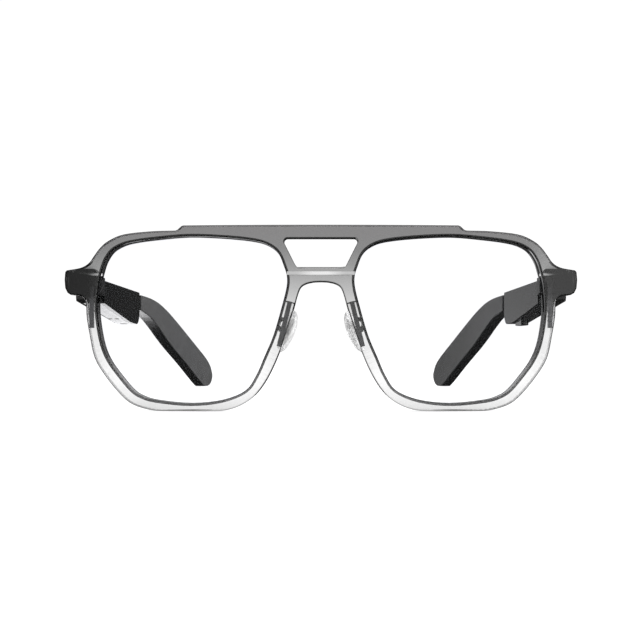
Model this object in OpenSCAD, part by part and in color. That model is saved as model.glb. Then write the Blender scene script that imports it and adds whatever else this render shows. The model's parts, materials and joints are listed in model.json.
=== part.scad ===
// Smart glasses with a double bridge: a crystal acetate front, two folding
// temples that hold the electronics, and adjustable nose pads.
// X is across the face (+X is the wearer's left), the front looks along -Y,
// and +Z is up. The origin is under the middle of the glasses, on the surface
// that the rims and the temple tips stand on.

/* [Front] */
// Radius of the face-form curve of the front, seen from above
front_curve_r = 600; // [500:50:900]
// Thickness of the acetate front
front_t = 4.6; // [4.4:0.1:4.8]
// Depth of the lens groove in the rim
groove_d = 0.7; // [0.5:0.1:0.8]
// Thickness of the lenses
lens_t = 2; // [1.6:0.1:2.2]
// How far the bridge trim stands proud of the front
trim_proud = 0.2; // [0.1:0.1:0.4]

/* [Hinges] */
// Outer radius of the hinge knuckles
knuckle_r = 1.4; // [1.3:0.05:1.5]
// Radius of the hinge pin
pin_r = 0.6; // [0.5:0.05:0.65]
// Running clearance between the pin and its knuckle
pin_clear = 0.03; // [0.02:0.01:0.05]
// Height of one knuckle
knuckle_h = 1.5; // [1.3:0.05:1.6]

/* [Temples] */
// Length of the electronics housing
housing_l = 47.85; // [46:0.05:50]
// Wall thickness of the housing
wall = 1.2; // [1:0.1:1.4]
// Thickness of the inner cover
cover_t = 1.2; // [1:0.1:1.3]
// Thickness of the temple arm
arm_t = 4.9; // [4.5:0.1:5.2]
// How far the temple tip leans in towards the head
tip_lean = 10.4; // [8:0.1:11]

/* [Nose pads] */
// Length of a nose pad
pad_l = 13; // [12:0.5:14]
// Width of a nose pad
pad_w = 7.4; // [7:0.2:8]
// Thickness of a nose pad
pad_t = 2.4; // [2.2:0.1:2.6]

/* [Controls] */
// Length of the function button
button_l = 10; // [8:0.5:11]
// Width of the function button
button_w = 2.6; // [2:0.1:3]

/* [Hidden] */
$fn = 48;
fit = 0.05;       // gap round a piece let into another
joint_gap = 0.15; // gap on either side of the temple joint

// Cutting shapes run past the pieces that they cut, as far as these
under = 20;       // up and down, in the hinge and the lug
over = 50;
ahead = -2;       // front to back, through the front
beyond = 20;
inboard = 40;     // across, through a lug or a temple
outboard = 80;

// The hinge axis is a vertical line, shared by everything at the temple joint.
hinge_x = 66.4;
hinge_y = 11.5;
knuckle_z = 34.6;                        // foot of the lowest knuckle
knuckle_pitch = knuckle_h + fit;
pocket_r = knuckle_r + 0.25;             // room for the knuckles to turn in

// The housing runs back from the joint. Its inner face looks at the head.
housing_in = 65.2;
housing_out = 73.4;
housing_y0 = hinge_y + joint_gap;
housing_y1 = housing_y0 + housing_l;
cover_x = housing_in + cover_t;          // where the cover meets the shell
shell_x = cover_x + fit;
housing_top = 38.4;
housing_drop = 0.6;                        // fall of the top edge over its length
housing_foot0 = 31.8;                    // lower edge at the joint
housing_foot1 = 25.8;                    // lower edge at the back
toe_r = 1.8;                             // rounds the lower corner at the joint
heel_l = 14;                             // the lower edge levels out over this length
heel_rise = 1.1;                         // and starts to this far above its level at the back
heel_fall = 0.7;
heel_r = 4.5;                            // rounds the lower corner at the back

// The arm carries on from the housing, curves down and ends on the surface.
arm_y0 = housing_y1 + 0.1;
arm_in0 = 65.2;
neck_y1 = 62.6;                          // the arm reaches its full section here
lean_y0 = 90;                            // where the arm starts to lean in
lean_span = 60;
tip_end = 156.5;
depth = tip_end + trim_proud;            // overall depth of the open glasses

// Nose pads: the pad's centre, its slant seen from the front and its splay
pad_at = [10.5, 9.6, 23.2];
pad_slant = -20;
pad_splay = -26;
pad_egg = 0.2;                           // how much wider the pad is at its top
pad_pivot_out = 1;                       // the pivot stands this far behind the pad's back

// ---- curves -------------------------------------------------------------

// A point on the Catmull-Rom curve between b and c
function curve_point(a, b, c, d, t) =
    (2 * b + (c - a) * t + (2 * a - 5 * b + 4 * c - d) * t * t
     + (3 * b - 3 * c + d - a) * t * t * t) / 2;

// A smooth open run through the points of p
function smooth(p, steps = 4) = concat(
    [for (i = [0:len(p) - 2]) let (
        a = i > 0 ? p[i - 1] : 2 * p[0] - p[1],
        d = i + 2 < len(p) ? p[i + 2] : 2 * p[i + 1] - p[i])
        for (k = [0:steps - 1]) curve_point(a, p[i], p[i + 1], d, k / steps)],
    [p[len(p) - 1]]);

// A smooth closed loop through the points of p
function loop(p, steps = 4) = let (n = len(p))
    [for (i = [0:n - 1], k = [0:steps - 1])
        curve_point(p[(i + n - 1) % n], p[i], p[(i + 1) % n], p[(i + 2) % n], k / steps)];

// A clockwise outline moved outwards by d
function grown(p, d) = let (n = len(p))
    [for (i = [0:n - 1]) let (t = p[(i + 1) % n] - p[(i + n - 1) % n])
        p[i] + d * [-t.y, t.x] / norm(t)];

// The arc that rounds corner b, between a and c, to radius r
function corner(a, b, c, r) = r == 0 ? [b] : let (
    u = (a - b) / norm(a - b), v = (c - b) / norm(c - b),
    half = acos(u * v) / 2,
    centre = b + (u + v) / norm(u + v) * r / sin(half),
    from = b + u * r / tan(half) - centre,
    to = b + v * r / tan(half) - centre,
    turn = 180 - 2 * half,
    n = max(2, ceil(turn / 15)))
    [for (k = [0:n]) centre
        + (from * sin(turn * (1 - k / n)) + to * sin(turn * k / n)) / sin(turn)];

// A polygon of [x, y, radius] corners
function rounded(p) = let (n = len(p))
    [for (i = [0:n - 1]) let (
        at = function (k) [p[(k + n) % n].x, p[(k + n) % n].y])
        each corner(at(i - 1), at(i), at(i + 1), p[i][2])];

function both_sides(half) = concat(half,
    [for (i = [len(half) - 1:-1:0]) if (half[i].x > 0.01) [-half[i].x, half[i].y]]);

// ---- prisms -------------------------------------------------------------

// Outlines seen from the front (x, z), from the side (y, z) and from above (x, y)
module front_prism(outline, y0, y1)
    translate([0, y1, 0]) rotate([90, 0, 0]) linear_extrude(y1 - y0) polygon(outline);

module side_prism(outline, x0, x1)
    translate([x0, 0, 0]) rotate([90, 0, 90]) linear_extrude(x1 - x0) polygon(outline);

module top_prism(outline, z0, z1)
    translate([0, 0, z0]) linear_extrude(z1 - z0) polygon(outline);

module block(low, high) translate(low) cube(high - low);

// A piece made for the wearer's left, on either side
module on_side(side) {
    translate([0, trim_proud - depth / 2, 0])
        mirror([side == "right" ? 1 : 0, 0, 0]) children();
}

// ---- outlines of the front ----------------------------------------------

brow_half = [[39.5, 53.4], [40.1, 53.2], [41.2, 52.2]];
upper_rim = [[41.8, 51.95], [49, 51.8], [57, 51], [61.5, 49.2], [64, 47.2],
    [65.8, 44.9], [67.4, 42.8], [69.8, 41.5], [74, 40.8]];
lug_end = [[74.5, 40.3], [74.7, 38], [74.5, 35.6], [73.8, 34.2], [72.8, 33.6]];
outer_rim = [[70.2, 33.4], [68.8, 32.6], [68.2, 30.4], [68, 27], [67.1, 21.8], [65.6, 15.2],
    [62.3, 9.8], [57.7, 4.4], [54, 1.7], [48.6, 0.2], [43, 0]];
inner_rim = [[33, 0], [27.4, 0.3], [22.8, 1.8], [18.8, 4.6], [15.6, 8.9], [12.8, 14.6],
    [10.4, 21.1], [7.9, 28.9], [6.8, 33], [5.8, 35.5], [4.2, 36.6], [2, 37.1], [0, 37.2]];
front_outline = both_sides(concat(
    brow_half, smooth(upper_rim), lug_end, smooth(outer_rim), smooth(inner_rim)));

// The lens opening, clockwise from its top
lens_opening = loop([[38, 50.3], [47.4, 49.6], [53.4, 48.9], [57.4, 48], [60.5, 46.3],
    [62.5, 43.5], [63.6, 40.4], [64.6, 36], [65, 30.2], [64.5, 24.7], [63.3, 18.9],
    [61.3, 14.4], [58.1, 10.1], [54.7, 6.2], [52, 4.4], [47.6, 3.1], [37.5, 2.2],
    [28.3, 3.2], [21.6, 6], [18.5, 10.3], [16.2, 15.5], [13.5, 21.9], [11.1, 30.2],
    [9.8, 35.5], [9.7, 38.7], [10.6, 41.7], [12.1, 45.2], [14.6, 47.4], [18.6, 48.8],
    [27, 49.8]]);

// The gap between the brow bar and the bridge
window = rounded([[-11.2, 49.7, 1], [11.2, 49.7, 1], [7, 41.3, 0.3], [-7, 41.3, 0.3]]);

// How far the curved front has fallen back at x
function sag(x) = front_curve_r - sqrt(front_curve_r * front_curve_r - x * x);

// The layer of the curved front between two depths behind its face
module curved_layer(from, to) {
    translate([0, front_curve_r, -5]) difference() {
        cylinder(r = front_curve_r - from, h = 65, $fn = 720);
        translate([0, 0, -1]) cylinder(r = front_curve_r - to, h = 67, $fn = 720);
    }
}

module curved_plate(outline, from, to) intersection() {
    front_prism(outline, ahead, beyond);
    curved_layer(from, to);
}

// ---- front ----------------------------------------------------------------

lens_from = (front_t - lens_t) / 2;
trim_z = 39.5;
trim_h = 1.1;
trim_half = 9.75;
trim_in = 0.8; // depth of the trim's seat

module trim_bar(extra) {
    half = trim_half + extra;
    low = trim_z - trim_h / 2 - extra;
    high = trim_z + trim_h / 2 + extra;
    front_prism([[-half, low], [half, low], [half, high], [-half, high]],
        -trim_proud, trim_in + extra);
}

// The end block fills the back of the lug, where the temple folds against it
block_in = 64.2;
block_out = 73.6;
block_y0 = 6.9;
block_y1 = hinge_y - joint_gap;
shelf_y = 9.9; // the temple's inner face folds flat behind this
block_plan = [[block_in, block_y0], [block_in, shelf_y], [hinge_x, shelf_y], [hinge_x, block_y1],
    [block_out - 0.3, block_y1], [block_out, block_y1 - 0.3], [block_out, block_y0]];
block_side = [[block_y0, 34.4], [block_y0, 40.3], [block_y1, 38.9], [block_y1, 33.2]];
block_face = [[block_in, 33.6], [block_in, 38.9], [71.5, 40.2], [block_out, 40.2],
    [block_out, 34.6], [72.6, 33.6]];

module block_solid(extra) intersection() {
    top_prism(grown(block_plan, extra), under, over);
    side_prism(grown(block_side, extra), inboard, outboard);
    front_prism(grown(block_face, extra), ahead, beyond);
}

// The hinge tongue runs down inside the outer limb of the rim
tongue_low = [66, 5.1, 24];
tongue_high = [67.3, 6.3, 36];

// The lug wraps back round the end block as far as the temple joint
lug_plan = [[62.8, 5.4], [63.3, 8.6], [66, 8.6], [68.4, 11.3], [73.9, 11.3], [74.3, 10.9],
    [74.6, 6], [70, 5]];
lug_side = [[5, 34.2], [11.3, 32.9], [11.3, 39.3], [5, 40.7]];

module lug_back() intersection() {
    top_prism(lug_plan, under, over);
    side_prism(lug_side, inboard, outboard);
}

module front_half_cuts() {
    curved_plate(grown(lens_opening, groove_d + fit), lens_from - fit, lens_from + lens_t + fit);
    front_prism(lens_opening, ahead, beyond);
    block_solid(fit);
    block(tongue_low - [fit, fit, fit], tongue_high + [fit, 4, fit]);
    pad_plate(fit);
}

module front_frame() color([0.55, 0.54, 0.54]) translate([0, trim_proud - depth / 2, 0])
    difference() {
        union() {
            curved_plate(front_outline, 0, front_t);
            lug_back();
            mirror([1, 0, 0]) lug_back();
        }
        front_prism(window, ahead, beyond);
        trim_bar(fit);
        front_half_cuts();
        mirror([1, 0, 0]) front_half_cuts();
    }

module bridge_trim() color([0.85, 0.85, 0.86]) translate([0, trim_proud - depth / 2, 0])
    trim_bar(0);

module lens(side) color([0.95, 0.97, 1, 0.4]) on_side(side)
    curved_plate(grown(lens_opening, groove_d), lens_from, lens_from + lens_t);

module end_block(side) color([0.12, 0.12, 0.12]) on_side(side) difference() {
    block_solid(0);
    knuckle_pocket();
    front_leaf(fit);
    tongue_slot();
    for (p = block_screw_at) translate(p) {
        rotate([-90, 0, 0]) cylinder(r = screw_bore_r, h = 10);
    }
}

module tongue_slot() block(tongue_low - [fit, fit, fit], tongue_high + [fit, 2, fit]);

// ---- hinge ----------------------------------------------------------------

module hinge_cylinder(r, z0, z1)
    translate([hinge_x, hinge_y, z0]) cylinder(r = r, h = z1 - z0);

module knuckle_pocket() hinge_cylinder(pocket_r, under, over);

function knuckle_foot(i) = knuckle_z + i * knuckle_pitch;

module knuckle(i) hinge_cylinder(knuckle_r, knuckle_foot(i), knuckle_foot(i) + knuckle_h);

module pin_bore() hinge_cylinder(pin_r + pin_clear, under, over);

leaf_z0 = knuckle_z + 0.1;
leaf_z1 = knuckle_foot(2) + knuckle_h - 0.2;
front_leaf_y = 7.6;
front_leaf_t = 0.8;
front_leaf_out = 69.4;
screw_r = 0.45;
screw_bore_r = screw_r + 0.02;
block_screw_at = [[68.4, 7.7, 35.8], [68.4, 7.7, 38.2]];

// The plate that carries the outer knuckles into the end block
module front_leaf(extra) {
    block([hinge_x - 0.5 - extra, front_leaf_y - extra, leaf_z0 - extra],
        [hinge_x + 0.5 + extra, hinge_y - 1 + extra, leaf_z1 + extra]);
    block([hinge_x - 0.5 - extra, front_leaf_y - extra, leaf_z0 - extra],
        [front_leaf_out + extra, front_leaf_y + front_leaf_t + extra, leaf_z1 + extra]);
}

module front_hinge(side) color([0.2, 0.2, 0.21]) on_side(side) difference() {
    union() {
        difference() {
            union() {
                front_leaf(0);
                knuckle(0);
                knuckle(2);
            }
            hinge_cylinder(pocket_r, knuckle_foot(1) - fit, knuckle_foot(1) + knuckle_h + fit);
        }
        block(tongue_low, tongue_high);
        block([tongue_low.x, tongue_low.y, leaf_z0], [tongue_high.x, front_leaf_y + 0.1, 36]);
    }
    pin_bore();
    for (p = block_screw_at) translate(p - [0, 1, 0])
        rotate([-90, 0, 0]) cylinder(r = screw_bore_r, h = 3);
}

// Two screws hold the hinge plate in the end block from behind
module block_screws(side) color([0.6, 0.6, 0.62]) on_side(side)
    for (p = block_screw_at) translate(p) difference() {
        rotate([-90, 0, 0]) union() {
            cylinder(r = screw_r, h = 2.2);
            translate([0, 0, 2.2]) cylinder(r = screw_r, h = 0.7);
        }
        block([-0.08, 2.6, -0.3], [0.08, 3, 0.3]);
    }

pin_head_r = 1.1;

module hinge_pin(side) color([0.75, 0.75, 0.77]) on_side(side) difference() {
    union() {
        hinge_cylinder(pin_r, knuckle_z - 0.2, leaf_z1 + 0.3);
        hinge_cylinder(pin_head_r, leaf_z1 + 0.22, leaf_z1 + 0.65);
    }
    translate([hinge_x, hinge_y, leaf_z1 + 0.5]) block([-2, -0.15, -0.15], [2, 0.15, 1]);
}

// The temple's leaf, and where it steps out to its full height
leaf_in = 66.9;
leaf_out = 67.9;
leaf_low = 34.2;
leaf_high = 37;
leaf_step = 13.1;
leaf_back = 19;
leaf_screw_at = [[67.4, 14.6, 35.6], [67.4, 17.6, 35.6]];

// The temple's half of the hinge: the middle knuckle and its leaf
module temple_leaf(extra) {
    block([leaf_in - extra, hinge_y + 0.3, knuckle_foot(1) + fit - extra],
        [leaf_out + extra, leaf_step + 0.1, knuckle_foot(1) + knuckle_h - fit + extra]);
    block([leaf_in - extra, leaf_step, leaf_low - extra],
        [leaf_out + extra, leaf_back + extra, leaf_high + extra]);
}

module temple_hinge(side) color([0.75, 0.75, 0.77]) on_side(side) difference() {
    union() {
        knuckle(1);
        temple_leaf(0);
    }
    pin_bore();
    for (p = leaf_screw_at) translate(p - [2, 0, 0])
        rotate([0, 90, 0]) cylinder(r = screw_bore_r, h = 4);
}

module leaf_screws(side) color([0.6, 0.6, 0.62]) on_side(side)
    for (p = leaf_screw_at) translate([66.5, p.y, p.z]) rotate([0, 90, 0]) union() {
        cylinder(r = 0.9, h = 0.38);
        cylinder(r = screw_r, h = 3.5);
    }

// ---- nose pads --------------------------------------------------------------

// The pad's own frame: x is its thickness (towards the nose is -x),
// y its width (backwards) and z its length (upwards)
module in_pad_frame() translate(pad_at) rotate([0, pad_slant, 0]) rotate([0, 0, pad_splay])
    children();

// A point of the pad's frame, in the glasses' own
function pad_point(p) = let (
    x = p.x * cos(pad_splay) - p.y * sin(pad_splay),
    y = p.x * sin(pad_splay) + p.y * cos(pad_splay))
    pad_at + [x * cos(pad_slant) + p.z * sin(pad_slant), y,
        p.z * cos(pad_slant) - x * sin(pad_slant)];

// A pad is a ball's cap cut to an egg-shaped outline
module pad_shape(l, w, t) {
    big = (l * l / 4 + t * t) / (2 * t);
    intersection() {
        translate([big - t, 0, 0]) sphere(r = big, $fn = 180);
        rotate([0, 90, 0]) translate([0, 0, -t - 1])
            linear_extrude(t + 1) polygon([for (a = [0:10:350])
                [l / 2 * sin(a), w / 2 * cos(a) * (1 - pad_egg * sin(a))]]);
    }
}

core_t = 0.6;
core_out = 0.9; // the core stands this far into the pad from its flat back

module pad_core_plate(extra) rotate([0, 90, 0]) translate([0, 0, -core_out - extra])
    linear_extrude(core_t + 2 * extra) polygon([for (a = [0:15:345])
        [(4.2 + extra) * sin(a), (1.9 + extra) * cos(a)]]);

module nose_pad(side) color([0.88, 0.88, 0.88, 0.7]) on_side(side) in_pad_frame() difference() {
    pad_shape(pad_l, pad_w, pad_t);
    pad_core_plate(fit);
    block([-core_out, -0.6 - fit, -0.9 - fit], [2, 0.6 + fit, 0.9 + fit]);
}

// The core's box stands behind the pad and takes the pad screw
module pad_core(side) color([0.7, 0.7, 0.72]) on_side(side) in_pad_frame() difference() {
    union() {
        pad_core_plate(0);
        block([-core_out + core_t - 0.1, -0.6, -0.9], [pad_pivot_out + 0.65, 0.6, 0.9]);
    }
    pad_pin_bore();
}

module pad_screw(side) color([0.75, 0.75, 0.77]) on_side(side) in_pad_frame()
    translate([pad_pivot_out, 0, 0]) rotate([90, 0, 0]) union() {
        cylinder(r = 0.3, h = 2.5, center = true);
        translate([0, 0, 1.25]) cylinder(r = 0.5, h = 0.35);
    }

// The pad arm: a plate let into the back of the limb, a bent wire and a yoke
plate_low = [12.1, 18.6];
plate_high = [8.9, 31.6];
plate_t = 1.1;
plate_tabs = [0.4, 0.98]; // where its cross bars stand along it

module pad_plate(extra) {
    run = plate_high - plate_low;
    side = [run.y, -run.x] / norm(run) * (0.65 + extra);
    along = run / norm(run) * extra;
    ends = [plate_low - along, plate_high + along];
    front_prism([ends[0] + side, ends[1] + side, ends[1] - side, ends[0] - side],
        front_t - plate_t - extra, 7);
    for (t = plate_tabs) tab_bar(plate_low + t * run, side, extra);
}

// A thin bar across the plate
module tab_bar(at, side, extra) {
    out = side / norm(side) * (1.25 + extra);
    up = [-out.y, out.x] / norm(out) * (0.2 + extra);
    front_prism([at + out - up, at + out + up, at - out + up, at - out - up],
        front_t - plate_t - extra, 7);
}

module pad_plate_solid() intersection() {
    pad_plate(0);
    curved_layer(front_t - plate_t, front_t + 0.1);
}

wire_r = 0.55;
wire_sides = 12;
wire_path = [[10.2, 3.9, 26.4], [10.3, 5, 26.5], [11, 6.6, 26.6], [12.1, 7.8, 25.9],
    pad_point([pad_pivot_out + 1.4, 0, 0.5]), pad_point([pad_pivot_out + 1.3, 0, 0])];

// A ring round point i of a path, square to the path there
function ring(path, i, r) = let (
    run = path[min(i + 1, len(path) - 1)] - path[max(i - 1, 0)],
    along = run / norm(run),
    u = cross(along, [0, 1, 0.3]),
    across = u / norm(u),
    up = cross(along, across))
    [for (k = [0:wire_sides - 1]) let (a = 360 * k / wire_sides)
        path[i] + r * (cos(a) * across + sin(a) * up)];

module pad_wire() {
    path = smooth(wire_path, 3);
    n = len(path);
    polyhedron(
        [for (i = [0:n - 1]) each ring(path, i, wire_r)],
        concat([[for (k = [0:wire_sides - 1]) k]],
            [for (i = [0:n - 2], k = [0:wire_sides - 1]) let (j = (k + 1) % wire_sides)
                [i * wire_sides + k, (i + 1) * wire_sides + k,
                 (i + 1) * wire_sides + j, i * wire_sides + j]],
            [[for (k = [wire_sides - 1:-1:0]) (n - 1) * wire_sides + k]]));
}

module pad_pin_bore() translate([pad_pivot_out, 0, 0]) rotate([90, 0, 0])
    cylinder(r = 0.3 + pin_clear, h = 4, center = true);

// The yoke straddles the pad core's box
module pad_yoke() in_pad_frame() difference() {
    block([pad_pivot_out - 0.6, -1.15, -0.6], [pad_pivot_out + 1.6, 1.15, 0.6]);
    block([pad_pivot_out - 2, -0.65, -2], [pad_pivot_out + 0.95, 0.65, 2]);
    pad_pin_bore();
}

module pad_arm(side) color([0.6, 0.6, 0.62]) on_side(side) union() {
    pad_plate_solid();
    pad_wire();
    pad_yoke();
}

// ---- temple -----------------------------------------------------------------

// Side profile of the housing, clockwise, drawn in by a distance and with its
// corners' radii cut down as far
function housing_profile(in) = rounded([
    [housing_y0 + in, housing_foot0 + in, max(toe_r - in, 0.2)],
    [housing_y0 + in, housing_top - in, max(0.4 - in, 0.2)],
    [housing_y1 - in, housing_top - housing_drop - in, max(0.6 - in, 0.2)],
    [housing_y1 - in, housing_foot1 + heel_rise - heel_fall + in, heel_r - in],
    [housing_y1 - heel_l, housing_foot1 + heel_rise + in, 0]]);
housing_side = housing_profile(0);
cavity_side = housing_profile(wall);
cavity_x = housing_out - wall;

// The underside's height at y
function foot(y) = let (
    heel_z = housing_foot1 + heel_rise,
    slope = (heel_z - housing_foot0) / (housing_l - heel_l))
    y < housing_y1 - heel_l
        ? housing_foot0 + slope * (y - housing_y0)
        : heel_z - heel_fall * (y - housing_y1 + heel_l) / heel_l;

centre_x = 69.3; // middle line of the underside
mic_y = 21.6;
contact_y = 39.4;
contact_x = [68.2, 70.4];
button_y = 50;

// The left temple keeps its speaker forward of its battery, clear of the button
function speaker_y(side) = side == "left" ? 28.4 : 52.3;
function battery_y(side) = side == "left" ? 34 : 22.4;
function outlet_y(side) = speaker_y(side) + 1.4;
core_y0 = 57.2;
core_z = 34.4;

// What is inside a housing stands between these, across the temple
cell_x = [66.9, 70.3];
board_x = [70.6, 71.2];
film_x = [71.7, 71.95];

module shell_bores(side) {
    outlet = outlet_y(side);
    block([centre_x - 0.4, mic_y - 1.2, foot(mic_y) - 1], [centre_x + 0.4, mic_y + 1.2, foot(mic_y) + 2]);
    for (x = contact_x) translate([x, contact_y, 20]) cylinder(r = 0.7 + fit, h = 12);
    block([centre_x - 1.1 - fit, outlet - 1.6 - fit, 20],
        [centre_x + 1.1 + fit, outlet + 1.6 + fit, foot(outlet) + 2.2]);
}

button_travel = 0.5;
button_hang = 0.9; // how far the button stands out of the underside
button_root = 1.7; // and how far it reaches in

module button_prism(extra, z0, z1)
    translate([centre_x, button_y, z0]) linear_extrude(z1 - z0)
        polygon(rounded([for (c = [[-1, -1], [-1, 1], [1, 1], [1, -1]])
            [c.x * (button_w / 2 + extra), c.y * (button_l / 2 + extra), 0.42 * button_w]]));

// The boss that the hinge leaf is screwed to
module hinge_boss() block([68, 12.5, 33.4], [cavity_x + 0.5, leaf_back + 0.3, 37]);

// The bevel along the outer edge of the underside
module outer_chamfer() {
    rise = atan((foot(housing_y1) - foot(housing_y0)) / housing_l);
    translate([housing_out, housing_y0, foot(housing_y0) + 0.2]) rotate([rise, 0, 0])
        rotate([0, 35, 0]) block([-1.4, -2, -4], [2, housing_l + 4, 0.2]);
}

module outer_shell(side) color([0.1, 0.1, 0.1]) on_side(side) difference() {
    union() {
        difference() {
            side_prism(housing_side, shell_x, housing_out);
            side_prism(cavity_side, shell_x - 1, cavity_x);
        }
        hinge_boss();
    }
    knuckle_pocket();
    temple_leaf(0.1);
    for (p = leaf_screw_at) translate([66, p.y, p.z])
        rotate([0, 90, 0]) cylinder(r = screw_bore_r, h = 4.2);
    shell_bores(side);
    outer_chamfer();
    if (side == "left") button_prism(0.08, 20, 31);
    block([67, housing_y1 - 2, core_z - 1.25 - fit], [69, housing_y1 + 1, core_z + 1.25 + fit]);
}

module inner_cover(side) color([0.15, 0.15, 0.15]) on_side(side) difference() {
    side_prism(housing_side, housing_in, cover_x);
    knuckle_pocket();
}

module battery(side) color([0.75, 0.76, 0.78]) on_side(side)
    translate([0, battery_y(side), 0]) side_prism(
        rounded([[0, 31.9, 0.5], [0, 36.2, 0.5], [22.2, 35.9, 0.5], [22.2, 31.2, 0.5]]),
        cell_x[0], cell_x[1]);

module main_board(side) color([0.1, 0.35, 0.2]) on_side(side)
    side_prism([[20.6, 33], [20.6, 36.7], [56.6, 36], [56.6, 32.6]],
        board_x[0], board_x[1]);

module touch_sensor(side) color([0.75, 0.5, 0.2]) on_side(side)
    side_prism([[23, 33], [23, 36.6], [52, 36], [52, 32.4]], film_x[0], film_x[1]);

function speaker_foot(side) = foot(outlet_y(side)) + 2.9;

module speaker(side) color([0.25, 0.25, 0.27]) on_side(side)
    side_prism(rounded([for (c = [[-1, -1], [-1, 1], [1, 1], [1, -1]])
        [speaker_y(side) + 3.9 * c.x, (speaker_foot(side) + 35.8) / 2
            + c.y * (35.8 - speaker_foot(side)) / 2, 0.6]]), cell_x[0] + 0.1, cell_x[1]);

module speaker_gasket(side) color([0.08, 0.08, 0.08]) on_side(side) {
    outlet = outlet_y(side);
    top = speaker_foot(side) - fit;
    difference() {
        block([centre_x - 2, outlet - 2, top - 1], [centre_x + 1, outlet + 2, top]);
        block([centre_x - 1.3, outlet - 1.3, top - 2], [centre_x + 0.3, outlet + 1.3, top + 1]);
    }
}

module speaker_grille(side) color([0.3, 0.3, 0.31]) on_side(side) {
    outlet = outlet_y(side);
    difference() {
        block([centre_x - 1.1, outlet - 1.6, foot(outlet) + 0.35],
            [centre_x + 1.1, outlet + 1.6, foot(outlet) + 0.85]);
        for (x = [-0.6, 0, 0.6], y = [-1.1:0.55:1.1])
            translate([centre_x + x, outlet + y, 20]) cylinder(r = 0.16, h = 15, $fn = 16);
    }
}

module microphone(side) color([0.8, 0.7, 0.4]) on_side(side) difference() {
    block([centre_x - 1.2, mic_y - 1.4, foot(mic_y) + wall + 0.35],
        [centre_x + 1.1, mic_y + 0.7, foot(mic_y) + wall + 1.2]);
    translate([centre_x, mic_y - 0.4, 25]) cylinder(r = 0.3, h = foot(mic_y) + wall + 0.7 - 25);
}

module charging_contacts(side) color([0.85, 0.7, 0.35]) on_side(side)
    for (x = contact_x) translate([x, contact_y, foot(contact_y) + 0.1]) union() {
        cylinder(r = 0.7, h = 1.2);
        translate([0, 0, 1.2]) cylinder(r = 0.4, h = 0.7);
    }

// Plan of the arm: its inner face, then how it leans in
function arm_in(y) = arm_in0 - (y > lean_y0 ? tip_lean * pow((y - lean_y0) / lean_span, 2) : 0);

function arm_band(y0, y1, from, to, step = 5) = let (n = ceil((y1 - y0) / step))
    concat([for (i = [0:n]) let (y = y0 + (y1 - y0) * i / n) [arm_in(y) + from, y]],
        [for (i = [n:-1:0]) let (y = y0 + (y1 - y0) * i / n) [arm_in(y) + to, y]]);

arm_upper = [[neck_y1, 37.1], [78, 36.9], [92.7, 36], [103, 34.3], [112, 31.9], [121, 28.6],
    [130, 24.6], [140, 19.4], [149.5, 13.8], [154.2, 9.8], [156.1, 6.3], [tip_end, 4.6],
    [155.9, 2.4], [154.4, 0.7], [152.5, 0]];
arm_lower = [[149.6, 0], [146.6, 1.7], [135, 8.8], [125, 13.9], [115, 18.3], [105, 22.4],
    [95, 26], [80, 29.6], [neck_y1, 31.7]];
arm_side = concat(smooth(arm_upper, 3), smooth(arm_lower, 3));
core_upper = [[core_y0, core_z + 1.2], [78, core_z + 0.7], [95, 32.6], [105, 30.1], [115, 26.6],
    [125, 22.4], [135, 17.3], [141, 14]];
core_lower = [for (i = [len(core_upper) - 1:-1:0]) core_upper[i] - [0.8, 2.4]];

module core_solid(extra) intersection() {
    side_prism(grown(concat(smooth(core_upper, 3), smooth(core_lower, 3)), extra), inboard, outboard);
    top_prism(grown(arm_band(core_y0 - 1, core_upper[7][0], 2, 2.8), extra), -5, over);
}

module temple_core(side) color([0.7, 0.7, 0.72]) on_side(side) core_solid(0);

module temple_tip(side) color([0.3, 0.3, 0.3]) on_side(side) difference() {
    union() {
        intersection() {
            side_prism(arm_side, inboard, outboard);
            top_prism(arm_band(neck_y1, tip_end + 4, 0, arm_t), -5, over);
        }
        block([arm_in0 + 0.5, arm_y0, 32.5], [arm_in0 + arm_t - 0.5, neck_y1 + 0.4, 36.6]);
    }
    core_solid(fit);
}

module function_button() color([0.1, 0.1, 0.1]) on_side("left")
    button_prism(0, foot(button_y) - button_hang, foot(button_y) + button_root);

module button_switch() color([0.7, 0.7, 0.65]) on_side("left")
    translate([centre_x, button_y, foot(button_y) + button_root + button_travel + fit]) union() {
        block([-1, -1.2, 0.3], [1, 1.2, 1]);
        cylinder(r = 0.6, h = 0.4);
    }

front_frame();
bridge_trim();
lens("right");  // right_lens
lens("left");  // left_lens
end_block("right");  // right_end_block
end_block("left");  // left_end_block
front_hinge("right");  // right_front_hinge
front_hinge("left");  // left_front_hinge
block_screws("right");  // right_block_screws
block_screws("left");  // left_block_screws
hinge_pin("right");  // right_hinge_pin
hinge_pin("left");  // left_hinge_pin
pad_arm("right");  // right_pad_arm
pad_arm("left");  // left_pad_arm
pad_screw("right");  // right_pad_screw
pad_screw("left");  // left_pad_screw
pad_core("right");  // right_pad_core
pad_core("left");  // left_pad_core
nose_pad("right");  // right_nose_pad
nose_pad("left");  // left_nose_pad
temple_hinge("right");  // right_temple_hinge
temple_hinge("left");  // left_temple_hinge
leaf_screws("right");  // right_leaf_screws
leaf_screws("left");  // left_leaf_screws
outer_shell("right");  // right_outer_shell
outer_shell("left");  // left_outer_shell
inner_cover("right");  // right_inner_cover
inner_cover("left");  // left_inner_cover
battery("right");  // right_battery
battery("left");  // left_battery
main_board("right");  // right_main_board
main_board("left");  // left_main_board
speaker("right");  // right_speaker
speaker("left");  // left_speaker
speaker_gasket("right");  // right_speaker_gasket
speaker_gasket("left");  // left_speaker_gasket
speaker_grille("right");  // right_speaker_grille
speaker_grille("left");  // left_speaker_grille
microphone("right");  // right_microphone
microphone("left");  // left_microphone
touch_sensor("right");  // right_touch_sensor
touch_sensor("left");  // left_touch_sensor
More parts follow.
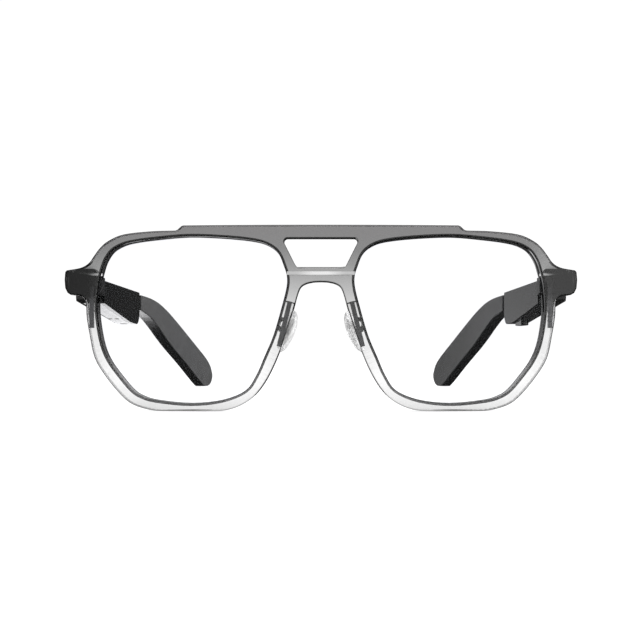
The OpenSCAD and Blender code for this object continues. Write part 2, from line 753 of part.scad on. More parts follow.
charging_contacts("right");  // right_charging_contacts
charging_contacts("left");  // left_charging_contacts
temple_core("right");  // right_temple_core
temple_core("left");  // left_temple_core
temple_tip("right");  // right_temple_tip
temple_tip("left");  // left_temple_tip
function_button();
button_switch();
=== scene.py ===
"""Smart glasses: the looks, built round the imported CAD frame.

Outlines, depths and places are read off the CAD nodes, so a piece here fits wherever the design puts it.
Lengths are in metres, +X is the wearer's left, the front looks along -Y and +Z is up.
"""

import json
import math

import bmesh
import bpy
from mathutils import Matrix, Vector, geometry


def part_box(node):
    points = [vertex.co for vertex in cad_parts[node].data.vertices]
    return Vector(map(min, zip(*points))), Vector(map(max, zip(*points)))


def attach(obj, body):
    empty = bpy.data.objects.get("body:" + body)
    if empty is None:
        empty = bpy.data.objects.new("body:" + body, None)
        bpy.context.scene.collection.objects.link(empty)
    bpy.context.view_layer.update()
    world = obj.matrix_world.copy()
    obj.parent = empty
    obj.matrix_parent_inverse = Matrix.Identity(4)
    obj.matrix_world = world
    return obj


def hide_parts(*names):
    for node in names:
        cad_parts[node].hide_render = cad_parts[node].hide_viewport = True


MM = 0.001

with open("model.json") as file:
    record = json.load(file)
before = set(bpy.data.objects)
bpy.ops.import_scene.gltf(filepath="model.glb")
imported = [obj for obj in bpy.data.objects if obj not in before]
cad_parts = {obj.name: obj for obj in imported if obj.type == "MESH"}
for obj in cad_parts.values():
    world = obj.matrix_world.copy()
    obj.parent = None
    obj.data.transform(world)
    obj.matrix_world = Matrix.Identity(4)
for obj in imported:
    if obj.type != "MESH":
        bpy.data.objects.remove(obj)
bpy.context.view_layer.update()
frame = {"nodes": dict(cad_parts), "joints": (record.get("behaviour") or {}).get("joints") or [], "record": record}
nodes = frame["nodes"]
front_low, front_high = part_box("front_frame")
block_low, block_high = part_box("left_end_block")

# ---- reading the frame -----------------------------------------------------


def welded(node):
    """A bmesh of a CAD node, its split corners joined again."""
    same_point = 0.002 * MM
    bm = bmesh.new()
    bm.from_mesh(nodes[node].data)
    bmesh.ops.remove_doubles(bm, verts=bm.verts, dist=same_point)
    bm.faces.index_update()
    return bm


def patches(bm, way, most_tilt):
    """Connected groups of faces that look along way, within most_tilt degrees, the largest first."""
    way = Vector(way).normalized()
    least = math.cos(math.radians(most_tilt))
    found = []
    left = {f for f in bm.faces if f.normal.dot(way) > least}
    for start in bm.faces:
        if start not in left:
            continue
        left.remove(start)
        group = [start]
        # The group grows while it is walked
        for face in group:
            for edge in face.edges:
                for other in edge.link_faces:
                    if other in left:
                        left.remove(other)
                        group.append(other)
        # In the mesh's own order, so that each run starts its outlines at the same point
        found.append(sorted(group, key=lambda f: f.index))
    return sorted(found, key=lambda group: -sum(f.calc_area() for f in group))


def loops_round(group):
    """The closed loops of points round a group of faces, the longest first."""
    after = {}
    inner = set(group)
    for face in group:
        for side in face.loops:
            if side.link_loop_radial_next.face not in inner:
                after[side.vert] = side.link_loop_next.vert
    loops = []
    while after:
        start = vert = next(iter(after))
        points = []
        while vert in after:
            points.append(vert.co.copy())
            vert = after.pop(vert)
        loops.append(points)
    return sorted(loops, key=lambda p: -sum((a - b).length for a, b in zip(p, p[1:])))


def outlines(node, way, most_tilt, across, up):
    """The outlines of a node's largest face looking along way, flattened to (across, up)."""
    bm = welded(node)
    found = loops_round(patches(bm, way, most_tilt)[0])
    bm.free()
    return [[Vector((p[across], p[up])) for p in loop] for loop in found]


def cut_loops(bm, point, normal):
    """The closed loops of points where a plane cuts a bmesh, the longest first."""
    geom = list(bm.verts) + list(bm.edges) + list(bm.faces)
    cut = bmesh.ops.bisect_plane(bm, geom=geom, plane_co=point, plane_no=normal, dist=1e-8)["geom_cut"]
    beside = {}
    for edge in cut:
        if isinstance(edge, bmesh.types.BMEdge):
            a, b = edge.verts
            beside.setdefault(a, []).append(b)
            beside.setdefault(b, []).append(a)
    loops = []
    while beside:
        vert = next(iter(beside))
        points = []
        while vert is not None:
            points.append(vert.co.copy())
            others = beside.pop(vert)
            vert = next((v for v in others if v in beside), None)
        loops.append(points)
    return sorted(loops, key=lambda p: -sum((a - b).length for a, b in zip(p, p[1:])))


# ---- outlines ----------------------------------------------------------------


def area_of(loop):
    """The area inside a loop, negative if it runs clockwise."""
    return sum(a.cross(b) for a, b in zip(loop, loop[1:] + loop[:1])) / 2


def turned(loop, inside):
    """The loop with the material on its left: anticlockwise, or clockwise round a hole."""
    return loop if (area_of(loop) > 0) != inside else loop[::-1]


def evened(loop, step):
    """The loop with its long sides split, and points closer than a tenth of step dropped."""
    points = []
    for a, b in zip(loop, loop[1:] + loop[:1]):
        if (b - a).length < step / 10:
            continue
        n = max(1, round((b - a).length / step))
        points += [a.lerp(b, k / n) for k in range(n)]
    return points


def inset(loop, d):
    """The loop moved by d towards its left."""
    out = []
    for before, at, after in zip(loop[-1:] + loop[:-1], loop, loop[1:] + loop[:1]):
        a = (at - before).normalized()
        b = (after - at).normalized()
        a_left = Vector((-a.y, a.x))
        b_left = Vector((-b.y, b.x))
        normal = a_left + b_left
        normal = normal.normalized() if normal.length > 1e-6 else a_left
        # At a corner the move is longer, but at most twice as long
        out.append(at + normal * d / max(0.5, normal.dot(a_left)))
    return out


def inside(point, loops):
    """True if point is in the material between the loops."""
    hits = 0
    for loop in loops:
        for a, b in zip(loop, loop[1:] + loop[:1]):
            if (a.y > point.y) != (b.y > point.y):
                hits += point.x < a.x + (b.x - a.x) * (point.y - a.y) / (b.y - a.y)
    return hits % 2 == 1


# ---- slabs ---------------------------------------------------------------------

# The material numbers of a slab's flat sides, its rounded edges and its grooves
FLAT, EDGE, GROOVE = 0, 1, 2


def edge_profile(thick, front, back, steps=5, groove=None):
    """(inset, depth, material of the strip that follows) down a slab's edge, rounded at the front and
    back. groove is (from, to, how deep it is cut)."""
    turns = [math.pi / 2 * k / steps for k in range(steps + 1)]
    profile = [(front * (1 - math.sin(a)), front * (1 - math.cos(a)), EDGE) for a in turns]
    if groove:
        start, end, cut = groove
        profile += [(0, start, GROOVE), (cut, start, GROOVE), (cut, end, GROOVE), (0, end, EDGE)]
    return profile + [(back * (1 - math.cos(a)), thick - back * (1 - math.sin(a)), EDGE) for a in turns]


def regions(triangles, walls):
    """Groups triangles that meet along an edge that isn't a wall."""
    beside = {}
    for number, corners in enumerate(triangles):
        for a, b in zip(corners, corners[1:] + corners[:1]):
            if frozenset((a, b)) not in walls:
                beside.setdefault(frozenset((a, b)), []).append(number)
    near = {number: [] for number in range(len(triangles))}
    for pair in beside.values():
        for number in pair:
            near[number] += pair
    left = set(near)
    while left:
        todo = [left.pop()]
        group = list(todo)
        while todo:
            for other in near[todo.pop()]:
                if other in left:
                    left.remove(other)
                    group.append(other)
                    todo.append(other)
        yield [triangles[number] for number in group]


def fill(bm, rings, place, extra, flip):
    """Fills a slab's flat side between its rings of vertices."""
    flat = [p for _, loop in rings for p in loop]
    verts = [v for ring, _ in rings for v in ring]
    loops = [loop for _, loop in rings]
    edges = []
    start = 0
    for loop in loops:
        edges += [(start + k, start + (k + 1) % len(loop)) for k in range(len(loop))]
        start += len(loop)
    extra = [p for p in extra if inside(p, loops)]
    points, lines, triangles, origins, sources, _ = geometry.delaunay_2d_cdt(
        flat + extra, edges, [], 0, 1e-9)
    walls = {frozenset(line) for line, source in zip(lines, sources) if source}
    # The flat side is the largest region inside the outlines. Slivers at folded corners are left out
    solid = (0, [])
    for group in regions(triangles, walls):
        spans = [(abs(area_of([points[k] for k in t])), t) for t in group]
        middle = sum((points[k] for k in max(spans)[1]), Vector((0, 0))) / 3
        if inside(middle, loops):
            solid = max(solid, (sum(span for span, _ in spans), group))
    made = {}
    for corners in solid[1]:
        for k in corners:
            if k not in made:
                old = [i for i in origins[k] if i < len(verts)]
                made[k] = verts[old[0]] if old else bm.verts.new(place(*points[k]))
        face = [made[k] for k in corners]
        bm.faces.new(face[::-1] if flip else face)


def slab(loops, profiles, place, extra=()):
    """A plate between outlines. loops[0] is the outer one and the rest are holes, each with an
    edge profile. place(u, v, depth) gives a point in space."""
    bm = bmesh.new()
    fronts = []
    backs = []
    for number, (loop, profile) in enumerate(zip(loops, profiles)):
        loop = turned(loop, number > 0)
        rings = []
        for cut, depth, _ in profile:
            flat = inset(loop, cut)
            rings.append(([bm.verts.new(place(p.x, p.y, depth)) for p in flat], flat))
        for (a, _), (b, _), (_, _, material) in zip(rings, rings[1:], profile):
            for k in range(len(a)):
                n = (k + 1) % len(a)
                bm.faces.new((a[k], b[k], b[n], a[n])).material_index = material
        fronts.append(rings[0])
        backs.append(rings[-1])
    first = profiles[0][0][1]
    last = profiles[0][-1][1]
    fill(bm, fronts, lambda u, v: place(u, v, first), extra, False)
    fill(bm, backs, lambda u, v: place(u, v, last), extra, True)
    # A tight corner can fold up in the rounding, so its points are joined and the edges closed
    bmesh.ops.remove_doubles(bm, verts=bm.verts, dist=0.01 * MM)
    bmesh.ops.holes_fill(bm, edges=[e for e in bm.edges if len(e.link_faces) == 1], sides=0)
    bmesh.ops.recalc_face_normals(bm, faces=bm.faces)
    return bm


# ---- pieces --------------------------------------------------------------------


def piece(name, bm, body, slot, materials, stands_for, sharp=40):
    """Makes an object of bm that rides on body and stands for CAD nodes."""
    mesh = bpy.data.meshes.new(name)
    bm.to_mesh(mesh)
    bm.free()
    mesh.polygons.foreach_set("use_smooth", [True] * len(mesh.polygons))
    mesh.set_sharp_from_angle(angle=math.radians(sharp))
    ob = bpy.data.objects.new(name, mesh)
    bpy.context.scene.collection.objects.link(ob)
    for material in materials:
        mesh.materials.append(material)
    weighted = ob.modifiers.new("normals", "WEIGHTED_NORMAL")
    weighted.keep_sharp = True
    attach(ob, body)
    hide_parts(*stands_for)
    return ob


def softened(node, radius):
    """A bmesh of a CAD node with its flat faces whole and its hard edges rounded."""
    same_face = math.radians(0.5)
    hard_edge = math.radians(30)
    bm = welded(node)
    bmesh.ops.dissolve_limit(bm, angle_limit=same_face, verts=bm.verts, edges=bm.edges)
    hard = [e for e in bm.edges if len(e.link_faces) == 2 and e.calc_face_angle(0) > hard_edge]
    if radius:
        bmesh.ops.bevel(bm, geom=hard, offset=radius, offset_type="OFFSET", segments=3,
                        profile=0.5, affect="EDGES", clamp_overlap=True)
    return bm


def cut_away(ob, bm):
    """Cuts the shape in bm out of ob."""
    cutter_mesh = bpy.data.meshes.new("cutter")
    bm.to_mesh(cutter_mesh)
    bm.free()
    cutter = bpy.data.objects.new("cutter", cutter_mesh)
    bpy.context.scene.collection.objects.link(cutter)
    step = ob.modifiers.new("cut", "BOOLEAN")
    step.operation = "DIFFERENCE"
    step.solver = "EXACT"
    step.object = cutter
    depsgraph = bpy.context.evaluated_depsgraph_get()
    mesh = bpy.data.meshes.new_from_object(ob.evaluated_get(depsgraph), depsgraph=depsgraph)
    ob.modifiers.remove(step)
    ob.data = mesh
    bpy.data.objects.remove(cutter)


def box_of(low, high):
    """A bmesh of a box between two corners."""
    bm = bmesh.new()
    bmesh.ops.create_cube(bm, size=1)
    size = high - low
    for vert in bm.verts:
        share = vert.co + Vector((0.5, 0.5, 0.5))
        vert.co = low + share * size
    return bm


# ---- materials -------------------------------------------------------------------


class Nodes:
    """A node tree, with short calls for the nodes that it uses."""

    def __init__(self, tree):
        self.nodes = tree.nodes
        self.links = tree.links

    def add(self, kind, inputs=None, **settings):
        made = self.nodes.new("ShaderNode" + kind)
        for key, value in settings.items():
            setattr(made, key, value)
        for key, value in (inputs or {}).items():
            self.put(value, made.inputs[key])
        return made

    def put(self, value, socket):
        if isinstance(value, bpy.types.NodeSocket):
            self.links.new(value, socket)
        else:
            socket.default_value = value

    def place(self):
        return self.add("TexCoord").outputs["Object"]

    def noise(self, scale, detail=3, roughness=0.5, vector=None):
        """Noise with features about 1 / scale metres across."""
        made = self.add("TexNoise", {"Vector": vector or self.place(), "Scale": scale, "Detail": detail,
                                     "Roughness": roughness})
        return made.outputs["Fac"]

    def span(self, value, a, b, low, high, smooth=False):
        """value from a to b becomes low to high."""
        made = self.add("MapRange", {"Value": value, "From Min": a, "From Max": b, "To Min": low,
                                     "To Max": high})
        made.interpolation_type = "SMOOTHSTEP" if smooth else "LINEAR"
        return made.outputs["Result"]

    def math(self, operation, a, b=0.0, c=0.0):
        return self.add("Math", {0: a, 1: b, 2: c}, operation=operation).outputs[0]

    def ramp(self, value, stops):
        """A colour ramp of (place, colour) stops."""
        made = self.add("ValToRGB", {"Fac": value})
        marks = made.color_ramp.elements
        while len(marks) < len(stops):
            marks.new(0.5)
        for mark, (at, colour) in zip(marks, stops):
            mark.position = at
            mark.color = (*colour, 1)
        return made.outputs["Color"]


class Shader(Nodes):
    """A material with a Principled shader."""

    def __init__(self, name, **settings):
        self.material = bpy.data.materials.new(name)
        self.material.use_nodes = True
        super().__init__(self.material.node_tree)
        self.base = self.nodes["Principled BSDF"]
        for key, value in settings.items():
            self.base.inputs[key.replace("_", " ")].default_value = value

    def rough(self, value, low, high):
        self.links.new(self.span(value, 0.3, 0.7, low, high), self.base.inputs["Roughness"])

    def bump(self, value, height, strength=1.0):
        made = self.add("Bump", {"Height": value, "Distance": height, "Strength": strength})
        self.links.new(made.outputs["Normal"], self.base.inputs["Normal"])

    def colour(self, value):
        self.links.new(value, self.base.inputs["Base Color"])


def grey(value):
    return (value, value, value)


def acetate(name, edge_dark, least_dark=0.0):
    """Crystal acetate: grey at the brow, fading to clear down the rims, with painted shade at the lugs, where
    the black end blocks sit behind, and where it is seen edge on. least_dark is how dark a surface is seen
    square on, and edge_dark how dark it is edge on."""
    made = Shader(name, Roughness=0.03, IOR=1.49, Transmission_Weight=1.0)
    x, _, up = made.add("SeparateXYZ", {0: made.place()}).outputs
    cloud = made.span(made.noise(60, 2), 0.3, 0.7, -0.8 * MM, 0.8 * MM)
    share_up = made.span(made.math("ADD", up, cloud), 0.0, front_high.z, 0.0, 1.0)
    tone = made.ramp(share_up, [
        (0.0, grey(0.60)), (0.06, grey(0.70)), (0.15, grey(0.78)), (0.41, grey(0.82)), (0.56, grey(0.64)),
        (0.64, grey(0.50)), (0.72, grey(0.39)), (0.78, grey(0.30)), (0.87, grey(0.225)),
        (1.0, (0.215, 0.21, 0.212))])

    # Painted shade: the lugs are darkened where the black end blocks sit behind the acetate
    outward = made.span(made.math("ABSOLUTE", x), block_low.x, block_low.x + 4 * MM, 0, 1, True)
    below_top = made.span(up, block_high.z, block_high.z + 2.5 * MM, 1, 0, True)
    above_foot = made.span(up, block_low.z - 2 * MM, block_low.z, 0, 1, True)
    lug_shade = made.math("MULTIPLY", made.math("MULTIPLY", outward, below_top), above_foot)

    # Painted shade: the acetate darkens where it is seen edge on, a little less low down
    facing = made.add("LayerWeight", {"Blend": 0.5}).outputs["Facing"]
    edge = made.span(facing, 0.04, 0.3, least_dark, edge_dark, True)
    edge_shade_fade_low = made.span(up, 0.05 * front_high.z, 0.3 * front_high.z, 0.8, 1.0)
    edge = made.math("MULTIPLY", edge, edge_shade_fade_low)
    # The painted shade of the edges and of the lugs darkens the acetate's tone
    dark = made.math("MAXIMUM", edge, made.math("MULTIPLY", lug_shade, 0.93))
    mixed = made.add("Mix", {0: dark, 6: tone, 7: (0, 0, 0, 1)}, data_type="RGBA")
    made.colour(mixed.outputs[2])
    made.rough(made.noise(900, 2), 0.01, 0.04)
    made.bump(made.noise(220, 2), 0.01 * MM, 0.2)
    return made.material


def lens_glass():
    """A clear lens with a faint cool coating."""
    made = Shader("lens_glass", Roughness=0.02)
    facing = made.add("LayerWeight", {"Blend": 0.5}).outputs["Facing"]
    shine = made.math("MULTIPLY_ADD", made.math("POWER", facing, 4.0), 0.6, 0.004)
    gloss = made.add("BsdfGlossy", {"Color": (0.9, 0.95, 1, 1), "Roughness": 0.02}).outputs[0]
    smear = made.span(made.noise(70, 3), 0.3, 0.7, 0.985, 1.0)
    tint = made.add("CombineColor", {0: smear, 1: smear, 2: 1.0}).outputs[0]
    clear = made.add("BsdfTransparent", {"Color": tint}).outputs[0]
    mixed = made.add("MixShader", {0: shine, 1: clear, 2: gloss})
    out = made.nodes["Material Output"]
    made.links.new(mixed.outputs[0], out.inputs["Surface"])
    return made.material


def black_gloss():
    """Semi-gloss black moulding."""
    made = Shader("black_gloss", Roughness=0.2, IOR=1.5)
    made.colour(made.ramp(made.noise(500, 3), [(0.3, grey(0.005)), (0.7, grey(0.009))]))
    made.rough(made.noise(1400, 3), 0.14, 0.24)
    made.bump(made.noise(9000, 2), 0.004 * MM, 0.2)
    return made.material


def black_satin():
    """Finely textured black moulding."""
    made = Shader("black_satin", Roughness=0.25, IOR=1.5)
    made.colour(made.ramp(made.noise(700, 3), [(0.3, grey(0.004)), (0.7, grey(0.007))]))
    made.rough(made.noise(1500, 3), 0.2, 0.28)
    made.bump(made.noise(9000, 2), 0.003 * MM, 0.15)
    return made.material


def arm_black():
    """The duller black round the outside of a temple arm."""
    made = Shader("arm_black", Roughness=0.3, IOR=1.5, Specular_IOR_Level=0.14)
    made.colour(made.ramp(made.noise(500, 3), [(0.3, grey(0.004)), (0.7, grey(0.008))]))
    made.rough(made.noise(1800, 3), 0.22, 0.36)
    made.bump(made.noise(9000, 2), 0.004 * MM, 0.2)
    return made.material


def soft_grey():
    """The rubbery dark grey on the inner face of a temple tip."""
    made = Shader("soft_grey", Roughness=0.5, IOR=1.5, Specular_IOR_Level=0.1, Sheen_Weight=0.05,
                  Sheen_Roughness=0.4)
    made.colour(made.ramp(made.noise(400, 4), [(0.3, grey(0.037)), (0.7, grey(0.053))]))
    made.rough(made.noise(2500, 3), 0.42, 0.58)
    made.bump(made.noise(12000, 2), 0.01 * MM, 0.3)
    return made.material


def silicone():
    """Clear, slightly milky silicone."""
    made = Shader("silicone", Roughness=0.3, IOR=1.41, Transmission_Weight=0.6)
    made.colour(made.ramp(made.noise(350, 3), [(0.3, grey(0.86)), (0.7, grey(0.93))]))
    made.rough(made.noise(2500, 3), 0.26, 0.4)
    made.bump(made.noise(5000, 2), 0.01 * MM, 0.3)
    return made.material


def metal(name, tone, roughness, grain=3500):
    """Steel and plated metal, faintly brushed. grain is how fine the brushing is."""
    made = Shader(name, Metallic=1.0)
    stretched = made.add("Mapping", {"Vector": made.place(), "Scale": (1, 1, 0.08)}).outputs[0]
    brushed = made.noise(grain, 3, vector=stretched)
    low = tuple(c * 0.86 for c in tone)
    made.colour(made.ramp(brushed, [(0.3, low), (0.7, tone)]))
    made.rough(brushed, roughness * 0.75, roughness * 1.3)
    made.bump(brushed, 0.004 * MM, 0.4)
    return made.material


def trim_metal():
    """Polished plating, brushed along the bar, rougher towards its ends and darkened there by painted shade."""
    made = Shader("polished_trim", Metallic=1.0)
    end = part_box("bridge_trim")[1].x
    x = made.add("SeparateXYZ", {0: made.place()}).outputs["X"]
    stretched = made.add("Mapping", {"Vector": made.place(), "Scale": (0.05, 1, 1)}).outputs[0]
    brushed = made.span(made.noise(4000, 3, vector=stretched), 0.3, 0.7, -0.06, 0.06)
    # Painted shade: the bar's colour falls off towards its ends, where it reflects less of the light ahead
    far = made.span(made.math("ABSOLUTE", x), 0.1 * end, 0.8 * end, 1.0, 0.66, True)
    tone = made.math("ADD", far, brushed)
    made.colour(made.add("CombineColor", {0: tone, 1: tone, 2: tone}).outputs[0])
    made.rough(tone, 0.2, 0.12)
    made.bump(brushed, 0.003 * MM, 0.2)
    return made.material


def board_green():
    """Solder mask."""
    made = Shader("board_green", Roughness=0.35)
    made.colour(made.ramp(made.noise(1800, 3), [(0.4, (0.004, 0.05, 0.02)), (0.6, (0.01, 0.1, 0.045))]))
    made.rough(made.noise(2500), 0.25, 0.45)
    return made.material


def moulded(name, tone, roughness=0.5):
    """Plain moulded plastic, and foam."""
    made = Shader(name, Roughness=roughness)
    made.colour(made.ramp(made.noise(900, 3), [(0.3, tuple(c * 0.8 for c in tone)), (0.7, tone)]))
    made.rough(made.noise(2200, 3), roughness * 0.85, roughness * 1.15)
    made.bump(made.noise(9000, 2), 0.006 * MM, 0.3)
    return made.material


# The look of each material slot
looks = {
    "acetate": acetate("acetate", 0.0),
    "polished_trim": trim_metal(),
    "lens": lens_glass(),
    "end_block": moulded("block_black", grey(0.02), 0.4),
    "dark_hinge": metal("dark_steel", (0.1, 0.1, 0.105), 0.35),
    "steel": metal("steel", (0.62, 0.61, 0.6), 0.25),
    "silicone": silicone(),
    "housing": black_gloss(),
    "cover": black_satin(),
    "cell": metal("pouch_foil", (0.75, 0.76, 0.78), 0.4, 900),
    "circuit_board": board_green(),
    "speaker_case": moulded("speaker_case", grey(0.03)),
    "gasket": moulded("gasket_foam", grey(0.01), 0.8),
    "mesh_metal": metal("mesh_metal", (0.06, 0.06, 0.06), 0.45),
    "mic_case": metal("mic_can", (0.8, 0.66, 0.4), 0.3),
    "sensor_film": metal("copper_film", (0.8, 0.4, 0.2), 0.35),
    "gold_contact": metal("gold_plate", (0.95, 0.75, 0.4), 0.2),
    "core_steel": metal("core_steel", (0.5, 0.5, 0.52), 0.3),
    "temple_tip": soft_grey(),
    "button": black_gloss(),
    "switch": moulded("switch_case", (0.5, 0.5, 0.45)),
}
# Looks of parts of a piece, or of pieces that differ from the rest of their slot
# Painted shade on the front's rounded edges and lens grooves where they are seen edge on; the grooves are also
# dark seen square on
acetate_edge = acetate("acetate_edge", 0.995)
acetate_groove = acetate("acetate_groove", 0.998, 0.985)
arm_outside = arm_black()
# Painted shade: the pad arms get a darker copy of metal than their slot, for how dark they look inside the acetate
dark_plating = metal("dark_plating", (0.09, 0.09, 0.092), 0.3)

body_of = {n: body for body, members in frame["record"]["behaviour"]["bodies"].items() for n in members}
slot_of = {s["node"]: s["material_slot"] for s in frame["record"]["subparts"]}

# ---- the front -------------------------------------------------------------------


def front_shape():
    """(face's y at the middle, radius of its curve, thickness) of the front."""
    most_tilt = 14
    bm = welded("front_frame")
    face = patches(bm, (0, -1, 0), most_tilt)[0]
    points = [(abs(v.co.x), v.co.y) for f in face for v in f.verts]
    near_y = min(points)[1]
    far_x, far_y = max(points)
    fall = far_y - near_y
    back = patches(bm, (0, 1, 0), most_tilt)[0]
    thick = min(v.co.y for f in back for v in f.verts) - near_y
    bm.free()
    return near_y, (far_x ** 2 + fall ** 2) / (2 * fall), thick


face_y, curve_r, front_t = front_shape()


def depth_behind(point):
    """How far a point is behind the curved face."""
    return curve_r - math.hypot(point.x, face_y + curve_r - point.y)


def smooth_step(value, a, b):
    """0 at a, 1 at b and smooth between."""
    t = min(1, max(0, (value - a) / (b - a)))
    return t * t * (3 - 2 * t)


def curved_y(x, depth):
    """The y of a point at a depth behind the curved face."""
    return face_y + curve_r - math.sqrt((curve_r - depth) ** 2 - x * x)


def on_front(u, v, depth):
    """A point of the front. At the lugs the back of it reaches round the end blocks."""
    outward = smooth_step(abs(u), block_low.x - 0.5 * MM, block_low.x + 4 * MM)
    above_foot = smooth_step(v, block_low.z - 0.2 * MM, block_low.z + 1.4 * MM)
    below_top = 1 - smooth_step(v, block_high.z - 0.6 * MM, block_high.z + 1.2 * MM)
    wrap = max(0, front_high.y - curved_y(u, front_t)) * outward * above_foot * below_top
    return Vector((u, curved_y(u, depth) + wrap * smooth_step(depth, 0.25 * front_t, front_t), v))


def front_outlines(depth):
    """The outlines of the front, cut at a depth behind its face."""
    flat = welded("front_frame")
    for vert in flat.verts:
        vert.co.y = depth_behind(vert.co)
    loops = cut_loops(flat, (0, depth, 0), (0, 1, 0))
    flat.free()
    return [[Vector((p.x, p.z)) for p in loop] for loop in loops]


def extent(loop, axis):
    """How far a loop reaches along an axis."""
    return max(p[axis] for p in loop) - min(p[axis] for p in loop)


def lug_points():
    """Points over both lugs, so that the back there has enough faces to bend."""
    step = 0.8 * MM
    columns = 16
    rows = 14
    start = Vector((block_low.x, block_low.z)) - Vector((MM, MM))
    return [Vector((side * (start.x + i * step), start.y + j * step))
            for side in (-1, 1) for i in range(columns) for j in range(rows)]


def build_front():
    """The acetate: a curved slab between its outlines, with lens grooves and pockets for the blocks."""
    fit = 0.05 * MM
    lens = welded("left_lens")
    depths = [depth_behind(v.co) for v in lens.verts]
    lens.free()
    # Behind the trim's seat and ahead of the lens groove, the outlines are clean
    trim_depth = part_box("bridge_trim")[1].y - face_y
    loops = front_outlines((trim_depth + min(depths)) / 2)
    lens_low, lens_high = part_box("left_lens")
    opening_height = sorted(extent(loop, 1) for loop in loops)[-2]
    cut = (lens_high.z - lens_low.z - opening_height) / 2 + fit
    groove = (min(depths) - fit, max(depths) + fit, cut)

    least_opening = 30 * MM
    outer_round = 0.45 * MM
    opening_round = 0.35 * MM
    back_round = 0.4 * MM
    profiles = []
    for number, loop in enumerate(loops):
        is_lens_opening = number > 0 and extent(loop, 0) > least_opening
        profiles.append(edge_profile(front_t, opening_round if number else outer_round, back_round,
                                     groove=groove if is_lens_opening else None))
    step = 0.9 * MM
    loops = [evened(loop, step) for loop in loops]
    bm = slab(loops, profiles, on_front, lug_points())
    materials = [looks["acetate"], acetate_edge, acetate_groove]
    front = piece("crystal_front", bm, "front", "acetate", materials, ["front_frame"])

    # The end blocks are pressed into pockets that are open at the back
    front.modifiers.clear()
    press = Vector((0.02, 0.02, 0.02)) * MM
    open_back = Vector((0, 2 * MM, 0))
    for side in ("right", "left"):
        low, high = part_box(side + "_end_block")
        cut_away(front, box_of(low + press, high - press + open_back))
    sharp = 35
    mesh = front.data
    mesh.polygons.foreach_set("use_smooth", [True] * len(mesh.polygons))
    mesh.set_sharp_from_angle(angle=math.radians(sharp))
    front.modifiers.new("normals", "WEIGHTED_NORMAL").keep_sharp = True


build_front()

# ---- temple tips ---------------------------------------------------------------------


def tip_profile(thick, seam):
    """The edge of a temple tip: rounded, with a fine groove along the seam between its two materials."""
    steps = 4
    gap = 0.09 * MM
    inner_round = 0.28 * MM
    outer_round = 0.6 * MM
    profile = edge_profile(thick, inner_round, outer_round, steps)
    groove = [(0, -gap), (1.5 * gap, -0.4 * gap), (1.5 * gap, 0.4 * gap), (0, gap)]
    profile[steps + 1:steps + 1] = [(cut, seam + shift, EDGE) for cut, shift in groove]
    return profile


def add_neck(bm, low, high):
    """Adds the thinner neck that enters the housing, in the outer material."""
    edge_round = 0.5 * MM
    neck = box_of(low, high)
    bmesh.ops.bevel(neck, geom=list(neck.edges), offset=edge_round, segments=4, profile=0.5, affect="EDGES")
    for face in neck.faces:
        face.material_index = EDGE
    mesh = bpy.data.meshes.new("neck")
    neck.to_mesh(mesh)
    neck.free()
    bm.from_mesh(mesh)


def build_tip(side):
    """A temple arm with its tip: soft grey on the inner face and black round the outside."""
    node = side + "_temple_tip"
    sign = 1 if side == "left" else -1
    inward = (-sign, 0, 0)
    most_tilt = 30
    seam = 0.42 * MM
    step = 1.2 * MM
    bm = welded(node)
    face = patches(bm, inward, most_tilt)[0]
    inner = sorted({(round(v.co.y, 6), abs(v.co.x)) for f in face for v in f.verts})
    bm.free()
    start_y, start_x = inner[0]
    low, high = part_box(node)
    thick = max(high.x, -low.x) - start_x

    def inner_x(y):
        """How far the inner face is from the middle of the glasses."""
        for (y0, x0), (y1, x1) in zip(inner, inner[1:]):
            if y0 <= y <= y1 and y1 > y0:
                return x0 + (x1 - x0) * (y - y0) / (y1 - y0)
        return start_x if y < start_y else inner[-1][1]

    outline = evened(outlines(node, inward, most_tilt, 1, 2)[0], step)

    def on_tip(u, v, depth):
        return Vector((sign * (inner_x(u) + depth), u, v))

    bm = slab([outline], [tip_profile(thick, seam)], on_tip)
    for face in bm.faces:
        middle = face.calc_center_median()
        is_outer = abs(middle.x) - inner_x(middle.y) >= seam
        face.material_index = EDGE if is_outer else FLAT

    # The neck is thinner than the arm by these, and reaches a little way into it
    beside = 0.5 * MM
    under = 0.8 * MM
    over = 0.5 * MM
    reach = 0.6 * MM
    heights = [p.y for p in outline if p.x < start_y + 0.5 * MM]
    middle_x = sign * (start_x + thick / 2)
    half = Vector((thick / 2 - beside, 0, 0))
    add_neck(bm, Vector((middle_x, low.y, min(heights) + under)) - half,
             Vector((middle_x, start_y + reach, max(heights) - over)) + half)
    piece(side + "_arm_and_tip", bm, side + "_temple", "temple_tip", [looks["temple_tip"], arm_outside],
          [node])


for side in ("right", "left"):
    build_tip(side)

# ---- nose pads -------------------------------------------------------------------------


# (how far in from the outline towards the middle, depth), both as shares, from a pad's back to its dome
PAD_RINGS = ((0.22, 0.0), (0.08, 0.0), (0.025, 0.05), (0.0, 0.18), (0.01, 0.33), (0.05, 0.46),
             (0.12, 0.58), (0.22, 0.7), (0.36, 0.82), (0.52, 0.91), (0.7, 0.97), (0.86, 0.995))


def widest_normal(bm):
    """The direction that most of a bmesh's area faces."""
    areas = {}
    for face in bm.faces:
        key = tuple(round(c, 2) for c in face.normal)
        areas[key] = areas.get(key, 0) + face.calc_area()
    return Vector(max(areas, key=areas.get)).normalized()


